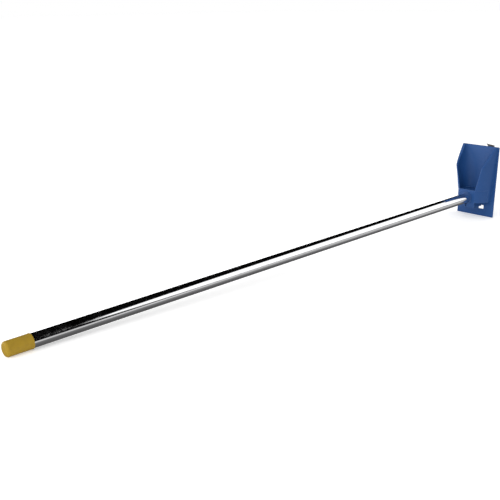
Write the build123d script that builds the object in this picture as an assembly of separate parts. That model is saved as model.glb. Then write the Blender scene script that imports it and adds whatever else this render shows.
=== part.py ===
"""Long-handled drag scoop: a moulded scoop head clamped on the end of a straight polished tube.

The head is drawn in its own axes: X across the plate, +Y out of the plate's back, Z up the plate,
with the plate's front face on y = 0 and its bottom edge on z = 0. The finished tool is then laid
down as it lies on a floor, on the plate's lower back edge and on the end cap.
"""
from math import atan2, cos, degrees, radians, sin
import os

from build123d import *

# Handle tube (mm)
tube_diameter = 25.4
tube_wall = 1.2
handle_reach = 1331.0  # along the handle, from the plate's front face to the outer end of the cap
handle_height = 53.0  # of the handle's axis above the plate's bottom edge, at the plate
handle_droop = 4.66  # degrees that the handle falls away from square to the plate

# End cap
cap_length = 47.5
cap_wall = 0.7
cap_end_thickness = 4.0
cap_end_round = 4.5
cap_bead_height = 0.3
cap_bead_length = 2.5

# Plate
plate_width = 106.0
plate_height = 181.0
plate_thickness = 3.5
plate_corner_round = 1.5
plate_edge_round = 0.8

# Scoop walls
wall = 3.2
scoop_depth = 45.0
scoop_bottom_width = 86.0
scoop_top_width = 101.6
mouth_width = 43.0  # between the front edges of the walls, at the ledge
mouth_peak_width = 70.6  # the same at the peak
peak_height = 129.3
ledge_height = 70.5
flank_bottom_height = 39.0
rim_depth = 5.0  # of the walls where they end at the plate's top edge
rim_round = 1.2  # along both edges of the walls' front rims
flank_shoulder = 36.0  # how far the flanks run out from the plate before they turn in
flank_draft = 4.0  # that they close in by on the way
blend_flat = 4.0  # half the flat strip between the walls' inner curves, where they begin to part
blend_top_round = 3.0  # of the same curves at the plate's top edge
side_step = 1.2  # that the socket's sides are set in below the scoop
side_step_depth = 13.0  # of the flank that isn't set in, from the plate

# Socket and split clamp
socket_bottom_height = 26.0
front_wall = 3.2
boss_wall = 3.2
tube_stop = 3.0  # solid left between the tube's end and the plate's front face
clamp_width = 36.0
clamp_slit = 2.6
core_wall = 3.0

# Socket liner
liner_wall = 1.5
liner_collar_width = 2.4
liner_collar_thickness = 2.0

# Clamp screw, washer and nut (M5)
screw_diameter = 5.0
screw_head_diameter = 8.5
screw_head_height = 5.0
screw_socket_width = 4.0
screw_socket_depth = 2.6
screw_end_past_nut = 2.0
washer_diameter = 10.0
washer_thickness = 1.0
nut_width = 8.0
nut_height = 4.0
nut_inset = 6.0  # of the nut's pocket from the clamp's side
screw_from_plate = 22.0
screw_height = 31.6

# Tube plug, inside the clamped end of the tube
plug_length = 46.0

# Windows through the plate, one each side below the socket
window_width = 15.6
window_height = 10.0
window_middle = 16.9  # of each window, from the plate's middle
window_bottom = 18.2
window_round = 1.5

# Hook on the back of the plate, at its top edge
hook_thickness = 2.0
hook_shank_width = 16.0
hook_right_edge = 33.0  # from the plate's middle
hook_barb = 7.0  # that the barb reaches past the shank
hook_rise = 5.2  # of the barb's tip above the plate's top edge
hook_fall = 2.6  # of the hook's top, from the tip to the other side
hook_throat = 7.0  # from the tip down to where the barb's slope meets the shank
hook_foot = 31.0  # that the shank reaches below the plate's top edge
pad_thickness = 5.0
pad_margin = 2.5
hook_screw_diameter = 4.0
hook_screw_head_diameter = 7.4
hook_screw_head_height = 2.4
hook_screw_length = 8.0
hook_screw_pitch = 14.0
hook_screw_slot = 1.0

# Clearances
fit_gap = 0.05  # radial, where a round piece turns or slides in another
seat_gap = 0.1  # round the nut, the plug and the screw
pocket_gap = 0.3  # round a loose piece in a moulded pocket

# Sizes that follow from the ones above
tube_radius = tube_diameter / 2
liner_inner_radius = tube_radius + fit_gap
liner_outer_radius = liner_inner_radius + liner_wall
collar_radius = liner_outer_radius + liner_collar_width - liner_wall
bore_radius = liner_outer_radius + fit_gap
boss_radius = bore_radius + boss_wall
cap_inner_radius = tube_radius + fit_gap
cap_radius = cap_inner_radius + cap_wall
plug_radius = tube_radius - tube_wall - fit_gap
screw_radius = screw_diameter / 2
washer_seat = clamp_width / 2
screw_head_seat = washer_seat + washer_thickness
nut_outer_x = clamp_width / 2 - nut_inset
nut_inner_x = nut_outer_x - nut_height
screw_tip_x = nut_outer_x + screw_end_past_nut
droop = radians(handle_droop)
blend_step = (plate_height - peak_height) / 4  # between the slices that shape the hollow
blend_bottom = peak_height - 2 * blend_step  # height where the walls' inner curves begin to part
front_y = -scoop_depth
collar_reach = (scoop_depth - collar_radius * sin(droop)) / cos(droop)
tube_end_reach = handle_reach - cap_end_thickness
hook_left_edge = hook_right_edge - hook_shank_width
hook_face_y = plate_thickness + pad_thickness
hook_back_y = hook_face_y + hook_thickness

# The handle's own plane: its origin on the plate's front face, its normal out along the handle
handle_plane = Plane(origin=(0, 0, handle_height), x_dir=(1, 0, 0), z_dir=(0, -cos(droop), -sin(droop)))


def rod(radius, start, end):
    """A round bar on the handle's axis between two distances from the plate."""
    return handle_plane.offset(start) * extrude(Circle(radius), end - start)


def block(x_range, y_range, z_range):
    """A box between two limits on each axis."""
    size = [high - low for low, high in (x_range, y_range, z_range)]
    middle = [(low + high) / 2 for low, high in (x_range, y_range, z_range)]
    return Pos(*middle) * Box(*size)


def cross_bar(radius, start, end):
    """A round bar on the clamp screw's axis, which runs across the head."""
    plane = Plane(origin=(start, -screw_from_plate, screw_height), x_dir=(0, 1, 0), z_dir=(1, 0, 0))
    return plane * extrude(Circle(radius), end - start)


def cross_hexagon(width, start, end):
    """A hexagonal bar on the clamp screw's axis, with two of its flats upright."""
    plane = Plane(origin=(start, -screw_from_plate, screw_height), x_dir=(0, 1, 0), z_dir=(1, 0, 0))
    return plane * extrude(RegularPolygon(width / 2, 6, major_radius=False, rotation=30), end - start)


def between(height, low, high, low_value, high_value):
    """A size that changes evenly from one height to another, and is constant past them."""
    share = min(1.0, max(0.0, (height - low) / (high - low)))
    return low_value + (high_value - low_value) * share


def half_base(height):
    """Half the scoop's width at the plate."""
    return between(height, flank_bottom_height, plate_height, scoop_bottom_width / 2, scoop_top_width / 2)


def half_mouth(height):
    """Half the gap between the walls' front edges, which keep their distance from the base above the peak."""
    widening = half_base(max(height, peak_height)) - half_base(peak_height)
    return between(height, ledge_height, peak_height, mouth_width / 2, mouth_peak_width / 2) + widening


def mirrored_face(height, half_outline):
    """A level face from its right half, which starts and ends on the head's middle plane."""
    half = Plane.XY.offset(height) * make_face(half_outline)
    return (half + mirror(half, about=Plane.YZ)).face()


def flank_section(height, inset=0.0, front=0.0):
    """A level slice of the scoop's outside: flanks that run out from the plate and turn in to the front."""
    base = half_base(height) - inset
    edge = half_mouth(height) + wall - inset
    depth = scoop_depth - front
    flank = Bezier((base, 0), (base - flank_draft, -flank_shoulder), (edge, -depth))
    return mirrored_face(height, [Line((0, 0), (base, 0)), flank, Polyline((edge, -depth), (0, -depth), (0, 0))])


def hollow_section(height):
    """A level slice of the scoop's hollow: a flat strip on the plate, and curves out to the front edges."""
    corner = half_base(height) - wall
    mouth = half_mouth(height)
    top_flat = half_base(plate_height) - wall - blend_top_round
    flat = blend_flat + (top_flat - blend_flat) * between(height, blend_bottom, plate_height, 0, 1) ** 2
    curve = Bezier((flat, 0), (corner, 0), (mouth, -scoop_depth))
    out = Polyline((mouth, -scoop_depth), (mouth, -2 * scoop_depth), (0, -2 * scoop_depth), (0, 0))
    return mirrored_face(height, [Line((0, 0), (flat, 0)), curve, out])


def stack(section, heights, **options):
    """A solid swept straight from the slice at each height to the next."""
    faces = [section(height, **options) for height in heights]
    spans = [loft(list(pair), ruled=True) for pair in zip(faces, faces[1:])]
    return sum(spans[1:], spans[0])


def make_walls():
    """The scoop's walls, cut on a slope from the peak to the plate's top, and the skirt round the socket."""
    above = plate_height + wall
    skirt_heights = (flank_bottom_height, ledge_height)
    rear = block((-plate_width, plate_width), (-side_step_depth, 0), (0, plate_height))
    skirt = stack(flank_section, skirt_heights, inset=side_step) + (stack(flank_section, skirt_heights) & rear)
    skirt -= stack(flank_section, (0, ledge_height - wall), inset=wall + side_step, front=front_wall)
    walls = stack(flank_section, (ledge_height, peak_height, plate_height, above))
    blend_heights = [blend_bottom + count * blend_step for count in range(7)]
    walls -= stack(hollow_section, (ledge_height, *blend_heights, above + wall))
    rise = (plate_height - peak_height) / (scoop_depth - rim_depth)
    over = 2 * plate_height
    slope = Polyline(
        (-rim_depth, plate_height),
        (-rim_depth - over, plate_height - over * rise),
        (-rim_depth - over, over),
        (over, over),
        (over, plate_height),
        close=True,
    )
    walls = skirt + walls - extrude(Plane.YZ * make_face(slope), plate_width, both=True)
    boxes = [(edge, edge.bounding_box()) for edge in walls.edges()]
    upper = [(edge, box) for edge, box in boxes if box.min.Z > ledge_height - fit_gap and box.size.Z > wall]
    return fillet([edge for edge, box in upper if box.max.Y < -rim_depth / 2], rim_round)


def make_plate():
    """The flat plate, with its two windows and the pad that carries the hook."""
    plate = block((-plate_width / 2, plate_width / 2), (0, plate_thickness), (0, plate_height))
    plate = fillet(plate.edges().filter_by(Axis.Y), plate_corner_round)
    plate = fillet(plate.faces().filter_by(Axis.Y).edges(), plate_edge_round)
    window = block(
        (window_middle - window_width / 2, window_middle + window_width / 2),
        (-plate_thickness, 2 * plate_thickness),
        (window_bottom, window_bottom + window_height),
    )
    window = fillet(window.edges().filter_by(Axis.Y), window_round)
    window += mirror(window, about=Plane.YZ)
    pad = block(
        (hook_left_edge - pad_margin, hook_right_edge + pad_margin),
        (0, hook_face_y),
        (plate_height - hook_foot - pad_margin, plate_height - plate_corner_round),
    )
    pad = fillet(pad.edges().filter_by(Axis.Y), plate_corner_round)
    return plate - window + pad


def hook_screw_heights():
    """The two hook screws, one above the other, centred on the pad."""
    middle = plate_height - hook_foot / 2 - pad_margin
    return [middle - hook_screw_pitch / 2, middle + hook_screw_pitch / 2]


def hook_screw_bar(radius, height, start, end):
    """A round bar on one hook screw's axis, which runs out of the plate's back."""
    x = (hook_left_edge + hook_right_edge) / 2
    plane = Plane(origin=(x, start, height), x_dir=(1, 0, 0), z_dir=(0, 1, 0))
    return plane * extrude(Circle(radius), end - start)


def make_socket():
    """The socket: front wall, boss and split clamp jaws, before anything is bored in them."""
    half = mouth_width / 2 + wall - side_step
    front = block((-half, half), (front_y, front_y + front_wall), (socket_bottom_height, ledge_height))
    jaws = block((-clamp_width / 2, clamp_width / 2), (front_y, 0), (socket_bottom_height, handle_height))
    boss = rod(boss_radius, -boss_radius, 2 * scoop_depth)
    inside = block((-half, half), (front_y, 0), (socket_bottom_height, ledge_height))
    return front + jaws + (boss & inside)


def make_clamp_cuts():
    """Everything that is cut from the socket: bore, slit, screw hole, nut slot and the cored pockets."""
    cuts = rod(bore_radius, tube_stop, 2 * scoop_depth)
    cuts += rod(collar_radius + pocket_gap, collar_reach, 2 * scoop_depth)
    low = socket_bottom_height - wall
    cuts += block((-clamp_slit / 2, clamp_slit / 2), (front_y - wall, -tube_stop), (low, handle_height))
    cuts += cross_bar(screw_radius + pocket_gap, -plate_width / 2, screw_tip_x + pocket_gap)
    slot_half = nut_width / 2 + seat_gap
    nut_slot = block(
        (nut_inner_x - seat_gap, nut_outer_x + seat_gap),
        (-screw_from_plate - slot_half, -screw_from_plate + slot_half),
        (low, screw_height),
    )
    cuts += nut_slot + cross_hexagon(nut_width + 2 * seat_gap, nut_inner_x - seat_gap, nut_outer_x + seat_gap)
    core_low_x = clamp_slit / 2 + 2 * core_wall
    core_high_x = clamp_width / 2 - core_wall
    screw_room = washer_diameter / 2 + core_wall
    core_top = screw_height + screw_radius
    for side in (-1, 1):
        x_range = sorted((side * core_low_x, side * core_high_x))
        for y_range in (
            (front_y + front_wall, -screw_from_plate - screw_room),
            (-screw_from_plate + screw_room, -core_wall),
        ):
            cuts += block(x_range, y_range, (low, core_top))
    return cuts


def make_head():
    """The whole head moulding."""
    head = make_plate() + make_walls() + make_socket() - make_clamp_cuts()
    for height in hook_screw_heights():
        hole_end = hook_back_y - hook_screw_length - pocket_gap
        head -= hook_screw_bar(hook_screw_diameter / 2 + fit_gap, height, hole_end, 2 * hook_back_y)
    return head


def make_tube():
    """The handle tube, from the stop in the socket to the inside of the cap's end."""
    return rod(tube_radius, tube_stop, tube_end_reach) - rod(tube_radius - tube_wall, tube_stop, tube_end_reach)


def make_plug():
    """The plug that keeps the clamped end of the thin tube round."""
    plug = rod(plug_radius, tube_stop, tube_stop + plug_length)
    return chamfer(plug.edges().sort_by(Axis.Y)[0], tube_wall)


def make_liner():
    """The split liner that the clamp closes on the tube, with a collar against the front wall."""
    liner = rod(liner_outer_radius, tube_stop, collar_reach + liner_collar_thickness)
    liner += rod(collar_radius, collar_reach, collar_reach + liner_collar_thickness)
    liner -= rod(liner_inner_radius, 0, 2 * scoop_depth)
    half = clamp_slit / 2
    return liner - block((-half, half), (2 * front_y, 0), (0, handle_height - tube_radius / 2))


def make_cap():
    """The push-on cap: a thin sleeve with a rounded closed end and a small bead at its rim."""
    start = handle_reach - cap_length
    shell = rod(cap_radius, start, handle_reach)
    shell = fillet(shell.edges().sort_by(Axis.Y)[0], cap_end_round)
    shell += rod(cap_radius + cap_bead_height, start, start + cap_bead_length)
    return shell - rod(cap_inner_radius, start, tube_end_reach)


def make_clamp_screw():
    """The socket-head clamp screw, with its head at the clamp's left side."""
    head_end = -screw_head_seat - screw_head_height
    screw = cross_bar(screw_radius, -screw_head_seat, screw_tip_x)
    screw = chamfer(screw.edges().sort_by(Axis.X)[-1], screw_radius / 5)
    head = cross_bar(screw_head_diameter / 2, head_end, -screw_head_seat)
    head = chamfer(head.edges().sort_by(Axis.X)[0], screw_radius / 5)
    return screw + head - cross_hexagon(screw_socket_width, head_end, head_end + screw_socket_depth)


def make_clamp_washer():
    """The plain washer between the screw's head and the clamp."""
    washer = cross_bar(washer_diameter / 2, -screw_head_seat, -washer_seat)
    return washer - cross_bar(screw_radius + fit_gap, -screw_head_seat, -washer_seat)


def make_clamp_nut():
    """The captive nut in its slot, bored to clear the screw's threads."""
    nut = cross_hexagon(nut_width, nut_inner_x, nut_outer_x)
    return nut - cross_bar(screw_radius + fit_gap, nut_inner_x, nut_outer_x)


def make_hook():
    """The flat steel hook: a shank on the pad, and a barb that points to the left above the plate."""
    tip_height = plate_height + hook_rise
    foot_height = plate_height - hook_foot
    outline = Polyline(
        (hook_left_edge - hook_barb, tip_height),
        (hook_right_edge, tip_height - hook_fall),
        (hook_right_edge, foot_height),
        (hook_left_edge, foot_height),
        (hook_left_edge, tip_height - hook_throat),
        close=True,
    )
    plane = Plane(origin=(0, hook_back_y, 0), x_dir=(1, 0, 0), z_dir=(0, -1, 0))
    hook = extrude(plane * make_face(outline), hook_thickness)
    hook = fillet(hook.edges().filter_by(Axis.Y).sort_by(Axis.Z)[:2], pad_margin)
    for height in hook_screw_heights():
        hook -= hook_screw_bar(hook_screw_diameter / 2 + pocket_gap, height, 0, 2 * hook_back_y)
    return hook


def make_hook_screws():
    """The two round-headed slotted screws that hold the hook on its pad."""
    screws = []
    head_end = hook_back_y + hook_screw_head_height
    for height in hook_screw_heights():
        shank = hook_screw_bar(hook_screw_diameter / 2, height, hook_back_y - hook_screw_length, hook_back_y)
        head = hook_screw_bar(hook_screw_head_diameter / 2, height, hook_back_y, head_end)
        head = fillet(head.edges().sort_by(Axis.Y)[-1], hook_screw_head_height / 2)
        half = hook_screw_head_diameter / 2
        x = (hook_left_edge + hook_right_edge) / 2
        slot = block(
            (x - half, x + half),
            (head_end - hook_screw_slot, head_end),
            (height - hook_screw_slot / 2, height + hook_screw_slot / 2),
        )
        screws.append(shank + head - slot)
    return Compound(children=screws)


def floor_lean():
    """The angle, in degrees, that the plate leans back when the tool lies on plate edge and cap."""
    shoulder = handle_reach - cap_end_round
    low_y = -shoulder * cos(droop) + cap_radius * sin(droop)
    low_z = handle_height - shoulder * sin(droop) - cap_radius * cos(droop)
    return degrees(atan2(-low_z, plate_thickness - low_y))


pieces = {
    "scoop_head": make_head(),
    "handle_tube": make_tube(),
    "tube_plug": make_plug(),
    "socket_liner": make_liner(),
    "end_cap": make_cap(),
    "clamp_screw": make_clamp_screw(),
    "clamp_washer": make_clamp_washer(),
    "clamp_nut": make_clamp_nut(),
    "top_hook": make_hook(),
    "hook_screws": make_hook_screws(),
}

# Lay the tool down, then put the origin on the floor under the middle of its bounding box
lean = Rot(X=-floor_lean())
tilted = Compound(children=[lean * piece for piece in pieces.values()]).bounding_box()
placement = Pos(0, -tilted.center().Y, -tilted.min.Z) * lean

os.makedirs("parts", exist_ok=True)
for name, piece in pieces.items():
    export_step(placement * piece, f"parts/{name}.step")
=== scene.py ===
"""A long-handled scoop tool, finished for rendering: blue head, bright tube, vinyl cap and steel hook.

Every length is in metres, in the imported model's own frame: the tool lies on the floor, which is z = 0.
"""
import math

import bmesh
import bpy
from mathutils import Matrix, Vector


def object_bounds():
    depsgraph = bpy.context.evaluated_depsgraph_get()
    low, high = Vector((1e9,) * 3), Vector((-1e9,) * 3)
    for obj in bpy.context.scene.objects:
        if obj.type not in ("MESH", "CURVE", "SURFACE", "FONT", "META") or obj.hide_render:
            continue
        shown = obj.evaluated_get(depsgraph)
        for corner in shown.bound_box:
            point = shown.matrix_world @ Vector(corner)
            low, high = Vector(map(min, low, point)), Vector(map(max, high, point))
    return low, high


bl_info = {
    "name": "Long-handled scoop tool",
    "version": (1, 0, 0),
    "blender": (4, 5, 0),
    "location": "View3D > Sidebar > Scoop Tool",
    "description": "Finishes the parts of a long-handled scoop tool and sets them on a studio floor",
    "category": "Object",
}

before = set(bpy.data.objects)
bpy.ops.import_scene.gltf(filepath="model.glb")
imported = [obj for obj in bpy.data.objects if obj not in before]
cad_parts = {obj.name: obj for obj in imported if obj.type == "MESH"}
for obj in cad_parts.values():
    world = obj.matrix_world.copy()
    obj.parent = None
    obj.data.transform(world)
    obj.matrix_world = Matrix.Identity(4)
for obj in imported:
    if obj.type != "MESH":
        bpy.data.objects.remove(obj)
cad_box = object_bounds()

# Camera: where it stands, and which ways are right, down and forward for it
CAMERA_PLACE = (1.17864, -1.21382, 0.54106)
CAMERA_RIGHT = (0.67501, 0.73773, -0.01107)
CAMERA_DOWN = (0.20271, -0.19985, -0.95863)
CAMERA_FORWARD = (-0.70942, 0.64484, -0.28445)
SENSOR_WIDTH = 36.0  # millimetres, as camera sensors are measured
FAR_CLIP = 100.0

# Soft lights: place from the tool's middle, width and height, watts at a brightness of 1
SOFTBOX_PLACE, SOFTBOX_SIZE, SOFTBOX_WATTS = (-1.9, -3.0, 2.0), (2.6, 2.0), 34.0
FILL_PLACE, FILL_SIZE, FILL_WATTS = (1.1, -3.2, 1.0), (2.2, 2.0), 46.0

# The floor as polished metal mirrors it: where it brightens to the left and darkens to the right
LEFT_STARTS, LEFT_FULL = -0.13, -0.20
RIGHT_STARTS, RIGHT_FULL = 0.22, 0.60
RIGHT_LIGHT = 0.2  # what is left of the floor's brightness there

# The sky as polished metal mirrors it. Each pair is where a panel starts, and where it is full, as
# a part of a unit direction: upwards for heights, to the right for sides, to the back for backs
WALL_HEIGHT = (0.42, 0.24)
WALL_SIDE = (0.55, 0.15)
OVERHEAD_HEIGHT = (0.58, 0.66)
FRONT_BACK = (0.28, 0.10)
WINDOW_BLUR = 0.008  # half the width of the round panel's soft rim, in cosine

# Shading of edges
CORNER_ROUND = 0.0006  # radius that moulded plastic shows on every edge
WEAR_WIDTH = 0.0011  # reach of the rubbed edges of moulded plastic
EDGE_GAIN = 14.0  # turns the small difference in normals at an edge into a full mask
BEVEL_SAMPLES = 6

# Noise of the surfaces
SWELL_SCALE = 38.0  # slow waves under the fine grain, for each metre
SWELL_DEPTH = 6.0  # their height, in heights of the fine grain
HAIRLINE_STOPS = ((0.62, 0.0), (0.74, 1.0))  # noise value and mask value
MARKS_FULL = 0.75  # noise value at which a mark is complete
SPECKLE_DEPTH = 0.12  # spread of the moulded plastic's roughness


# ---------------------------------------------------------------- sizes and colours


def colour(name, description, default):
    """A linear colour that a user would change."""
    return bpy.props.FloatVectorProperty(
        name=name, description=description, subtype="COLOR", size=3, min=0.0, max=1.0, default=default
    )


def length(name, description, default):
    """A length in metres."""
    return bpy.props.FloatProperty(
        name=name, description=description, default=default, min=0.0, unit="LENGTH", precision=5
    )


def share(name, description, default):
    """A number from 0 to 1."""
    return bpy.props.FloatProperty(name=name, description=description, default=default, min=0.0, max=1.0)


class ScoopHeadSettings(bpy.types.PropertyGroup):
    """Finish of the moulded head."""

    base: colour("Colour", "Colour of the moulded plastic", (0.012, 0.060, 0.203))
    faded: colour("Faded colour", "Colour where the plastic has chalked", (0.034, 0.098, 0.268))
    scuffed: colour("Scuffed colour", "Colour of edges that have been rubbed", (0.100, 0.175, 0.360))
    grain: length("Grain", "Size of the mould's fine grain", 0.0007)
    gloss: share("Roughness", "Roughness of the clean surface", 0.42)


class ScoopTubeSettings(bpy.types.PropertyGroup):
    """Finish of the bright tube."""

    base: colour("Colour", "Colour of the plating", (0.84, 0.84, 0.85))
    gloss: share("Roughness", "Roughness of the clean plating", 0.06)
    draw_lines: length("Draw lines", "Spacing of the fine lines that run along the tube", 0.0006)


class ScoopCapSettings(bpy.types.PropertyGroup):
    """Finish of the dipped end cap."""

    base: colour("Colour", "Colour of the vinyl", (0.312, 0.198, 0.016))
    grimy: colour("Grimy colour", "Colour where dirt has settled", (0.225, 0.138, 0.014))
    gloss: share("Roughness", "Roughness of the clean vinyl", 0.40)


class ScoopSteelSettings(bpy.types.PropertyGroup):
    """Finish of the hook and the fasteners."""

    blackened: colour("Blackened steel", "Colour of the hook's black finish", (0.060, 0.056, 0.054))
    bare: colour("Bare steel", "Colour of the hook's rubbed edges", (0.300, 0.285, 0.275))
    zinc: colour("Zinc", "Colour of the zinc-plated fasteners", (0.560, 0.560, 0.530))


class ScoopStageSettings(bpy.types.PropertyGroup):
    """Floor, light and camera."""

    floor: colour("Floor", "Colour of the floor", (0.90, 0.90, 0.90))
    floor_glow: share("Floor glow", "Light that the floor adds to what falls on it", 0.36)
    mirrored_floor: colour("Mirrored floor", "Colour of the floor as metal mirrors it", (0.66, 0.66, 0.66))
    mirrored_shade: colour("Mirrored shade", "Colour of the shade under the tool", (0.10, 0.10, 0.10))
    shade_width: length("Shade width", "How far that shade reaches to each side", 0.11)
    floor_size: length("Floor size", "Width of the floor", 60.0)
    lens: bpy.props.FloatProperty(
        name="Lens", description="Focal length of the camera", default=60.29, unit="CAMERA"
    )
    brightness: bpy.props.FloatProperty(
        name="Brightness", description="Strength of the two soft lights", default=1.0, min=0.0
    )
    ambient: bpy.props.FloatProperty(
        name="Ambient", description="Strength of the light from all round", default=0.82
    )
    window_way: bpy.props.FloatVectorProperty(
        name="Window way",
        description="Direction of the bright panel that polished metal mirrors",
        subtype="DIRECTION",
        default=(0.458, 0.835, 0.305),
    )
    window_reach: bpy.props.FloatProperty(
        name="Window reach",
        description="Half the angle that the panel fills",
        default=math.radians(29.5),
        unit="ROTATION",
    )
    window_light: bpy.props.FloatProperty(
        name="Window light", description="Strength of the panel", default=1.3
    )
    wall_light: bpy.props.FloatProperty(
        name="Wall light",
        description="Strength of the wall and the overhead panel, as mirrored",
        default=0.64,
    )
    left_light: bpy.props.FloatProperty(
        name="Left light", description="How much brighter the floor to the left is, as mirrored", default=4.6
    )


# ---------------------------------------------------------------- shader tools


class NodeSheet:
    """Adds nodes to one node tree and joins them up."""

    def __init__(self, tree):
        self.tree = tree
        tree.nodes.clear()

    def add(self, kind, inputs=None, **settings):
        node = self.tree.nodes.new(kind)
        for name, value in settings.items():
            setattr(node, name, value)
        for name, value in (inputs or {}).items():
            socket = node.inputs[name]
            if isinstance(value, bpy.types.NodeSocket):
                self.tree.links.new(value, socket)
            else:
                socket.default_value = value
        return node

    def ramp(self, value, stops):
        """A colour ramp with the given (place, grey) stops."""
        node = self.add("ShaderNodeValToRGB", {"Fac": value})
        elements = node.color_ramp.elements
        for element, (place, grey) in zip(elements, stops):
            element.position = place
            element.color = (grey, grey, grey, 1)
        return node.outputs["Color"]

    def maths(self, operation, a, b=0.0):
        node = self.add("ShaderNodeMath", {0: a, 1: b}, operation=operation)
        return node.outputs[0]

    def mix(self, fac, a, b):
        """A colour between a and b."""
        node = self.add("ShaderNodeMix", data_type="RGBA")
        for socket, value in ((node.inputs[0], fac), (node.inputs[6], a), (node.inputs[7], b)):
            if isinstance(value, bpy.types.NodeSocket):
                self.tree.links.new(value, socket)
            elif socket.type == "RGBA":
                socket.default_value = (*value, 1)
            else:
                socket.default_value = value
        return node.outputs[2]


def new_group(name, inputs, outputs):
    """Starts a node group with named inputs (name, kind, default) and outputs (name, kind)."""
    tree = bpy.data.node_groups.new(name, "ShaderNodeTree")
    for label, kind, default in inputs:
        socket = tree.interface.new_socket(label, in_out="INPUT", socket_type=kind)
        socket.default_value = default
    for label, kind in outputs:
        tree.interface.new_socket(label, in_out="OUTPUT", socket_type=kind)
    sheet = NodeSheet(tree)
    return sheet, sheet.add("NodeGroupInput").outputs, sheet.add("NodeGroupOutput").inputs


def edge_wear_group(name):
    """A mask that is bright on edges of the shape, broken up by noise."""
    sheet, given, out = new_group(
        name,
        [
            ("Width", "NodeSocketFloat", 0.001),
            ("Patch size", "NodeSocketFloat", 90.0),
            ("Amount", "NodeSocketFloat", 0.6),
        ],
        [("Mask", "NodeSocketFloat")],
    )
    rounded = sheet.add("ShaderNodeBevel", {"Radius": given["Width"]}, samples=BEVEL_SAMPLES)
    sharp = sheet.add("ShaderNodeNewGeometry")
    normals = {0: rounded.outputs["Normal"], 1: sharp.outputs["Normal"]}
    cosine = sheet.add("ShaderNodeVectorMath", normals, operation="DOT_PRODUCT")
    edge = sheet.maths("SUBTRACT", 1.0, cosine.outputs["Value"])
    place = sheet.add("ShaderNodeTexCoord").outputs["Object"]
    patches = sheet.add("ShaderNodeTexNoise", {"Vector": place, "Scale": given["Patch size"], "Detail": 4.0})
    broken = sheet.maths("MULTIPLY", sheet.maths("MULTIPLY", edge, EDGE_GAIN), patches.outputs["Fac"])
    limited = sheet.add("ShaderNodeClamp", {"Value": sheet.maths("MULTIPLY", broken, given["Amount"])})
    join(sheet, limited.outputs["Result"], out["Mask"])


def grain_group(name):
    """The fine raised grain of a moulded or dipped surface, over a slow waviness."""
    sheet, given, out = new_group(
        name,
        [("Grain size", "NodeSocketFloat", 0.0007), ("Depth", "NodeSocketFloat", 0.00002)],
        [("Height", "NodeSocketFloat"), ("Speckle", "NodeSocketFloat")],
    )
    place = sheet.add("ShaderNodeTexCoord").outputs["Object"]
    per_metre = sheet.maths("DIVIDE", 1.0, given["Grain size"])
    fine = sheet.add(
        "ShaderNodeTexNoise", {"Vector": place, "Scale": per_metre, "Detail": 3.0, "Roughness": 0.6}
    )
    slow = sheet.add("ShaderNodeTexNoise", {"Vector": place, "Scale": SWELL_SCALE, "Detail": 1.0})
    swell = sheet.maths("MULTIPLY", slow.outputs["Fac"], SWELL_DEPTH)
    height = sheet.maths("MULTIPLY", sheet.maths("ADD", fine.outputs["Fac"], swell), given["Depth"])
    join(sheet, height, out["Height"])
    join(sheet, fine.outputs["Fac"], out["Speckle"])


def hairlines_group(name):
    """Fine hairlines, long in one direction, and a mask of the strongest."""
    sheet, given, out = new_group(
        name,
        [("Spacing", "NodeSocketFloat", 0.0006), ("Stretch", "NodeSocketFloat", 60.0)],
        [("Height", "NodeSocketFloat"), ("Mask", "NodeSocketFloat")],
    )
    place = sheet.add("ShaderNodeTexCoord").outputs["Object"]
    per_metre = sheet.maths("DIVIDE", 1.0, given["Spacing"])
    along = sheet.maths("DIVIDE", per_metre, given["Stretch"])
    scale = sheet.add("ShaderNodeCombineXYZ", {"X": per_metre, "Y": along, "Z": per_metre})
    spread = sheet.add("ShaderNodeVectorMath", {0: place, 1: scale.outputs["Vector"]}, operation="MULTIPLY")
    lines = sheet.add("ShaderNodeTexNoise", {"Vector": spread.outputs["Vector"], "Scale": 1.0, "Detail": 2.0})
    join(sheet, lines.outputs["Fac"], out["Height"])
    join(sheet, sheet.ramp(lines.outputs["Fac"], HAIRLINE_STOPS), out["Mask"])


def marks_group(name):
    """Soft patches of dirt and handling marks."""
    sheet, given, out = new_group(
        name,
        [("Patch size", "NodeSocketFloat", 12.0), ("Low", "NodeSocketFloat", 0.45)],
        [("Mask", "NodeSocketFloat")],
    )
    place = sheet.add("ShaderNodeTexCoord").outputs["Object"]
    size = given["Patch size"]
    cloud = sheet.add(
        "ShaderNodeTexNoise", {"Vector": place, "Scale": size, "Detail": 6.0, "Roughness": 0.65}
    )
    mask = sheet.add(
        "ShaderNodeMapRange",
        {"Value": cloud.outputs["Fac"], "From Min": given["Low"], "From Max": MARKS_FULL},
    )
    join(sheet, mask.outputs["Result"], out["Mask"])


GROUPS = {"edge": edge_wear_group, "grain": grain_group, "hairlines": hairlines_group, "marks": marks_group}


def group(sheet, key, **inputs):
    """Places one shared group in a material, made the first time that it is asked for."""
    name = "scoop " + key
    if name not in bpy.data.node_groups:
        GROUPS[key](name)
    node = sheet.add("ShaderNodeGroup", node_tree=bpy.data.node_groups[name])
    for label, value in inputs.items():
        node.inputs[label.replace("_", " ")].default_value = value
    return node.outputs


def new_material(name, **constants):
    """A material with one Principled shader, whose plain numbers are set on the shader itself."""
    material = bpy.data.materials.new(name)
    material.use_nodes = True
    sheet = NodeSheet(material.node_tree)
    shader = sheet.add("ShaderNodeBsdfPrincipled")
    for label, value in constants.items():
        shader.inputs[label.replace("_", " ")].default_value = value
    sheet.add("ShaderNodeOutputMaterial", {"Surface": shader.outputs["BSDF"]})
    return material, sheet, shader.inputs


def join(sheet, source, target):
    sheet.tree.links.new(source, target)


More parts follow.
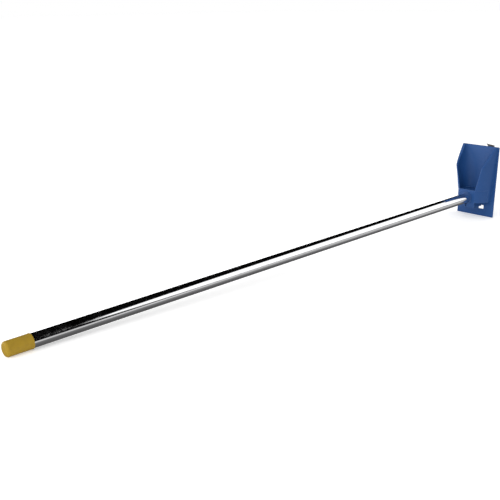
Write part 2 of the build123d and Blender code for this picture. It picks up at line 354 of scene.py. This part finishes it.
def bump(sheet, height, distance, strength=1.0, normal=None):
    """A bump normal from a height, over another normal if one is given."""
    inputs = {"Height": height, "Distance": distance, "Strength": strength}
    if normal is not None:
        inputs["Normal"] = normal
    return sheet.add("ShaderNodeBump", inputs).outputs["Normal"]


def fade(sheet, value, start, full, low=0.0, high=1.0):
    """Runs from low to high as a value runs from start to full."""
    ends = {"From Min": start, "From Max": full, "To Min": low, "To Max": high}
    return sheet.add("ShaderNodeMapRange", {"Value": value, **ends}).outputs["Result"]


def paint(obj, material):
    """Gives an object one material."""
    obj.data.materials.clear()
    obj.data.materials.append(material)


# ---------------------------------------------------------------- materials


def moulded_plastic(name, base, faded, scuffed, grain, gloss):
    """Injection-moulded plastic: fine grain, chalky patches, and edges rubbed pale."""
    material, sheet, shader = new_material(name, Specular_IOR_Level=0.28)
    surface = group(sheet, "grain", Grain_size=grain, Depth=1.0)
    patches = group(sheet, "marks", Patch_size=9.0, Low=0.42)["Mask"]
    wear = group(sheet, "edge", Width=WEAR_WIDTH, Patch_size=140.0, Amount=0.35)["Mask"]
    chalk = sheet.maths("MULTIPLY", patches, 0.45)
    join(sheet, sheet.mix(wear, sheet.mix(chalk, base, faded), scuffed), shader["Base Color"])
    speckle = sheet.maths("MULTIPLY", surface["Speckle"], SPECKLE_DEPTH)
    clean = sheet.maths("ADD", speckle, gloss - SPECKLE_DEPTH / 2)  # about gloss, as noise is near 0.5
    chalk_dulls = sheet.maths("MULTIPLY", patches, 0.14)
    wear_dulls = sheet.maths("MULTIPLY", wear, 0.12)
    rough = sheet.maths("ADD", sheet.maths("ADD", chalk_dulls, clean), wear_dulls)
    join(sheet, rough, shader["Roughness"])
    rounded = sheet.add("ShaderNodeBevel", {"Radius": CORNER_ROUND}, samples=BEVEL_SAMPLES).outputs["Normal"]
    relief = bump(sheet, surface["Height"], distance=0.00004, strength=0.55, normal=rounded)
    join(sheet, relief, shader["Normal"])
    return material


def bright_plating(settings):
    """Bright plating on a drawn tube: faint lines along it, with light smears."""
    material, sheet, shader = new_material("bright plating", Metallic=1.0)
    lines = group(sheet, "hairlines", Spacing=settings.draw_lines, Stretch=90.0)
    smears = group(sheet, "marks", Patch_size=26.0, Low=0.5)["Mask"]
    dulled = sheet.maths("MULTIPLY", smears, 0.09)
    scratched = sheet.maths("MULTIPLY", lines["Mask"], 0.05)
    rough = sheet.maths("ADD", sheet.maths("ADD", dulled, scratched), settings.gloss)
    join(sheet, rough, shader["Roughness"])
    smudged = sheet.maths("MULTIPLY", smears, 0.5)
    base = tuple(settings.base)
    greyer = tuple(0.86 * c for c in base)
    join(sheet, sheet.mix(smudged, base, greyer), shader["Base Color"])
    join(sheet, bump(sheet, lines["Height"], distance=0.000012, strength=0.5), shader["Normal"])
    return material


def dipped_vinyl(settings):
    """Soft dipped vinyl: waxy sheen, faint ripples, with dirt worked into it."""
    material, sheet, shader = new_material("dipped vinyl", Specular_IOR_Level=0.2)
    surface = group(sheet, "grain", Grain_size=0.0016, Depth=1.0)
    dirt = group(sheet, "marks", Patch_size=55.0, Low=0.48)["Mask"]
    soiled = sheet.maths("MULTIPLY", dirt, 0.6)
    join(sheet, sheet.mix(soiled, settings.base, settings.grimy), shader["Base Color"])
    rough = sheet.maths("ADD", sheet.maths("MULTIPLY", dirt, 0.2), settings.gloss)
    join(sheet, rough, shader["Roughness"])
    join(sheet, bump(sheet, surface["Height"], distance=0.00006, strength=0.5), shader["Normal"])
    return material


def blackened_steel(settings):
    """Black-finished sheet steel: bare at the edges, with a rolled grain."""
    material, sheet, shader = new_material("blackened steel", Specular_IOR_Level=0.5)
    wear = group(sheet, "edge", Width=0.0009, Patch_size=260.0, Amount=0.9)["Mask"]
    rubbed = group(sheet, "marks", Patch_size=120.0, Low=0.52)["Mask"]
    worn = sheet.maths("ADD", wear, sheet.maths("MULTIPLY", rubbed, 0.5))
    bare = sheet.add("ShaderNodeClamp", {"Value": worn})
    join(sheet, sheet.mix(bare.outputs["Result"], settings.blackened, settings.bare), shader["Base Color"])
    join(sheet, bare.outputs["Result"], shader["Metallic"])
    lines = group(sheet, "hairlines", Spacing=0.0004, Stretch=4.0)
    uneven = sheet.maths("MULTIPLY", lines["Height"], 0.2)
    smoothest = 0.32
    join(sheet, sheet.maths("ADD", uneven, smoothest), shader["Roughness"])
    join(sheet, bump(sheet, lines["Height"], distance=0.00003, strength=0.5), shader["Normal"])
    return material


def zinc_plate(settings):
    """Zinc-plated steel: soft grey with fine lines and dull patches."""
    material, sheet, shader = new_material("zinc plate", Metallic=1.0)
    lines = group(sheet, "hairlines", Spacing=0.00025, Stretch=3.0)
    dull = group(sheet, "marks", Patch_size=300.0, Low=0.45)["Mask"]
    darker = tuple(0.62 * c for c in settings.zinc)
    join(sheet, sheet.mix(dull, settings.zinc, darker), shader["Base Color"])
    uneven = sheet.maths("MULTIPLY", dull, 0.2)
    smoothest = 0.24
    join(sheet, sheet.maths("ADD", uneven, smoothest), shader["Roughness"])
    join(sheet, bump(sheet, lines["Height"], distance=0.00002, strength=0.6), shader["Normal"])
    return material


# ---------------------------------------------------------------- pieces


class SCOOP_OT_head(bpy.types.Operator):
    """Finishes the moulded head"""

    bl_idname = "scoop.head"
    bl_label = "Head"

    def execute(self, context):
        settings = context.scene.scoop_head
        colours = (settings.base, settings.faded, settings.scuffed)
        material = moulded_plastic("blue head plastic", *colours, settings.grain, settings.gloss)
        paint(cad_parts["scoop_head"], material)
        return {"FINISHED"}


class SCOOP_OT_tube(bpy.types.Operator):
    """Finishes the bright tube"""

    bl_idname = "scoop.tube"
    bl_label = "Handle tube"

    def execute(self, context):
        paint(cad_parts["handle_tube"], bright_plating(context.scene.scoop_tube))
        return {"FINISHED"}


class SCOOP_OT_cap(bpy.types.Operator):
    """Finishes the dipped end cap"""

    bl_idname = "scoop.cap"
    bl_label = "End cap"

    def execute(self, context):
        paint(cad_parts["end_cap"], dipped_vinyl(context.scene.scoop_cap))
        return {"FINISHED"}


class SCOOP_OT_inner_plastics(bpy.types.Operator):
    """Finishes the socket liner and the tube plug"""

    bl_idname = "scoop.inner_plastics"
    bl_label = "Liner and plug"

    def execute(self, context):
        liner = moulded_plastic(
            "liner nylon", (0.020, 0.072, 0.225), (0.034, 0.092, 0.245), (0.09, 0.15, 0.32), 0.0005, 0.38
        )
        plug = moulded_plastic(
            "plug nylon", (0.018, 0.018, 0.019), (0.035, 0.035, 0.036), (0.09, 0.09, 0.09), 0.0005, 0.45
        )
        paint(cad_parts["socket_liner"], liner)
        paint(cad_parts["tube_plug"], plug)
        return {"FINISHED"}


class SCOOP_OT_hook(bpy.types.Operator):
    """Finishes the steel hook"""

    bl_idname = "scoop.hook"
    bl_label = "Hook"

    def execute(self, context):
        paint(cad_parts["top_hook"], blackened_steel(context.scene.scoop_steel))
        return {"FINISHED"}


class SCOOP_OT_fasteners(bpy.types.Operator):
    """Finishes the screws, the washer and the nut"""

    bl_idname = "scoop.fasteners"
    bl_label = "Fasteners"

    def execute(self, context):
        material = zinc_plate(context.scene.scoop_steel)
        for name in ("clamp_screw", "clamp_washer", "clamp_nut", "hook_screws"):
            paint(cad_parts[name], material)
        return {"FINISHED"}


# ---------------------------------------------------------------- stage


def area_light(name, place, aim, size, watts):
    """A rectangular soft light at a place, turned to a point."""
    data = bpy.data.lights.new(name, "AREA")
    data.shape = "RECTANGLE"
    data.size, data.size_y = size
    data.energy = watts
    light = bpy.data.objects.new(name, data)
    light.location = place
    light.rotation_euler = (Vector(aim) - Vector(place)).to_track_quat("-Z", "Y").to_euler()
    bpy.context.scene.collection.objects.link(light)
    return light


class SCOOP_OT_stage(bpy.types.Operator):
    """Makes the floor, the lights and the camera"""

    bl_idname = "scoop.stage"
    bl_label = "Stage"

    def execute(self, context):
        settings = context.scene.scoop_stage
        self.make_floor(settings)
        self.make_sky(context, settings)
        self.make_lights(settings)
        self.make_camera(context, settings)
        return {"FINISHED"}

    def make_floor(self, settings):
        mesh = bpy.data.meshes.new("floor")
        form = bmesh.new()
        bmesh.ops.create_grid(form, x_segments=1, y_segments=1, size=settings.floor_size / 2)
        form.to_mesh(mesh)
        form.free()
        floor = bpy.data.objects.new("floor", mesh)
        bpy.context.scene.collection.objects.link(floor)
        material, sheet, shader = new_material("floor paper", Roughness=0.9, Specular_IOR_Level=0.1)
        tone = group(sheet, "marks", Patch_size=1.5, Low=0.4)["Mask"]
        pale = tuple(settings.floor)
        used = tuple(0.985 * c for c in pale)
        join(sheet, sheet.mix(tone, pale, used), shader["Base Color"])
        shader["Emission Color"].default_value = (1, 1, 1, 1)
        shader["Emission Strength"].default_value = settings.floor_glow
        self.dim_when_mirrored(sheet, settings)
        paint(floor, material)

    def dim_when_mirrored(self, sheet, settings):
        """To mirror rays the floor glows grey: shaded under the tool, bright left, dark right."""
        output = next(node for node in sheet.tree.nodes if node.type == "OUTPUT_MATERIAL")
        lit = output.inputs["Surface"].links[0].from_socket
        path = sheet.add("ShaderNodeLightPath")
        place = sheet.add("ShaderNodeTexCoord").outputs["Object"]
        across = sheet.add("ShaderNodeSeparateXYZ", {0: place}).outputs["X"]
        away = sheet.add(
            "ShaderNodeMapRange",
            {"Value": sheet.maths("ABSOLUTE", across, 0.0), "From Max": settings.shade_width},
            interpolation_type="SMOOTHERSTEP",
        ).outputs["Result"]
        tone = sheet.mix(away, tuple(settings.mirrored_shade), tuple(settings.mirrored_floor))
        left = fade(sheet, across, LEFT_STARTS, LEFT_FULL, 1.0, settings.left_light)
        right = fade(sheet, across, RIGHT_STARTS, RIGHT_FULL, 1.0, RIGHT_LIGHT)
        strength = sheet.maths("MULTIPLY", left, right)
        grey = sheet.add("ShaderNodeEmission", {"Color": tone, "Strength": strength})
        mirror_ray = path.outputs["Is Glossy Ray"]
        shown = sheet.add("ShaderNodeMixShader", {0: mirror_ray, 1: lit, 2: grey.outputs[0]})
        join(sheet, shown.outputs[0], output.inputs["Surface"])

    def make_sky(self, context, settings):
        """Even light all round and white to the camera; what shines mirrors dark walls and bright panels."""
        world = bpy.data.worlds.new("studio")
        world.use_nodes = True
        sheet = NodeSheet(world.node_tree)
        path = sheet.add("ShaderNodeLightPath")
        mirrored = sheet.add("ShaderNodeBackground", {"Strength": self.mirrored_brightness(sheet, settings)})
        around = sheet.add("ShaderNodeBackground", {"Strength": settings.ambient})
        white = sheet.add("ShaderNodeBackground", {"Strength": 1.0})
        for background in (mirrored, around, white):
            background.inputs["Color"].default_value = (1, 1, 1, 1)
        mirror_ray, camera_ray = path.outputs["Is Glossy Ray"], path.outputs["Is Camera Ray"]
        lit = sheet.add("ShaderNodeMixShader", {0: mirror_ray, 1: around.outputs[0], 2: mirrored.outputs[0]})
        both = sheet.add("ShaderNodeMixShader", {0: camera_ray, 1: lit.outputs[0], 2: white.outputs[0]})
        sheet.add("ShaderNodeOutputWorld", {"Surface": both.outputs[0]})
        context.scene.world = world

    def mirrored_brightness(self, sheet, settings):
        """A round panel beyond the head, one overhead, and a pale wall in front and to the left."""
        way = sheet.add("ShaderNodeTexCoord").outputs["Generated"]
        panel = Vector(settings.window_way).normalized()
        cosine = sheet.add("ShaderNodeVectorMath", {0: way, 1: panel}, operation="DOT_PRODUCT")
        edge = math.cos(settings.window_reach)
        side, back, height = sheet.add("ShaderNodeSeparateXYZ", {0: way}).outputs
        disc = fade(sheet, cosine.outputs["Value"], edge - WINDOW_BLUR, edge + WINDOW_BLUR)
        window = sheet.maths("MULTIPLY", disc, settings.window_light)
        wall = sheet.maths("MULTIPLY", fade(sheet, height, *WALL_HEIGHT), fade(sheet, side, *WALL_SIDE))
        panels = sheet.maths("ADD", wall, fade(sheet, height, *OVERHEAD_HEIGHT))
        in_front = sheet.maths("MULTIPLY", panels, fade(sheet, back, *FRONT_BACK))
        return sheet.maths("ADD", window, sheet.maths("MULTIPLY", in_front, settings.wall_light))

    def make_lights(self, settings):
        middle = (cad_box[0] + cad_box[1]) / 2
        softbox_place = middle + Vector(SOFTBOX_PLACE)
        area_light("front softbox", softbox_place, middle, SOFTBOX_SIZE, SOFTBOX_WATTS * settings.brightness)
        fill_place = middle + Vector(FILL_PLACE)
        fill = area_light("fill", fill_place, middle, FILL_SIZE, FILL_WATTS * settings.brightness)
        fill.visible_glossy = False

    def make_camera(self, context, settings):
        data = bpy.data.cameras.new("camera")
        data.lens = settings.lens
        data.sensor_width = SENSOR_WIDTH
        data.clip_end = FAR_CLIP
        camera = bpy.data.objects.new("camera", data)
        axes = (Vector(CAMERA_RIGHT), -Vector(CAMERA_DOWN), -Vector(CAMERA_FORWARD))
        turn = Matrix(axes).transposed().to_4x4()
        camera.matrix_world = Matrix.Translation(CAMERA_PLACE) @ turn
        context.scene.collection.objects.link(camera)
        context.scene.camera = camera
        context.scene.view_settings.view_transform = "Standard"


class SCOOP_PT_panel(bpy.types.Panel):
    """Lists the pieces and the stage"""

    bl_idname = "SCOOP_PT_panel"
    bl_label = "Scoop Tool"
    bl_space_type = "VIEW_3D"
    bl_region_type = "UI"
    bl_category = "Scoop Tool"

    def draw(self, context):
        for operator in OPERATORS:
            self.layout.operator(operator.bl_idname)


OPERATORS = (
    SCOOP_OT_head,
    SCOOP_OT_tube,
    SCOOP_OT_cap,
    SCOOP_OT_inner_plastics,
    SCOOP_OT_hook,
    SCOOP_OT_fasteners,
    SCOOP_OT_stage,
)
SETTINGS = {
    "scoop_head": ScoopHeadSettings,
    "scoop_tube": ScoopTubeSettings,
    "scoop_cap": ScoopCapSettings,
    "scoop_steel": ScoopSteelSettings,
    "scoop_stage": ScoopStageSettings,
}


def register():
    for kind in (*SETTINGS.values(), *OPERATORS, SCOOP_PT_panel):
        bpy.utils.register_class(kind)
    for name, kind in SETTINGS.items():
        setattr(bpy.types.Scene, name, bpy.props.PointerProperty(type=kind))


def unregister():
    for name in SETTINGS:
        delattr(bpy.types.Scene, name)
    for kind in reversed((*SETTINGS.values(), *OPERATORS, SCOOP_PT_panel)):
        bpy.utils.unregister_class(kind)


def main():
    """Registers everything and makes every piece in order."""
    register()
    for operator in OPERATORS:
        category, name = operator.bl_idname.split(".")
        getattr(getattr(bpy.ops, category), name)()


if __name__ == "__main__":
    main()
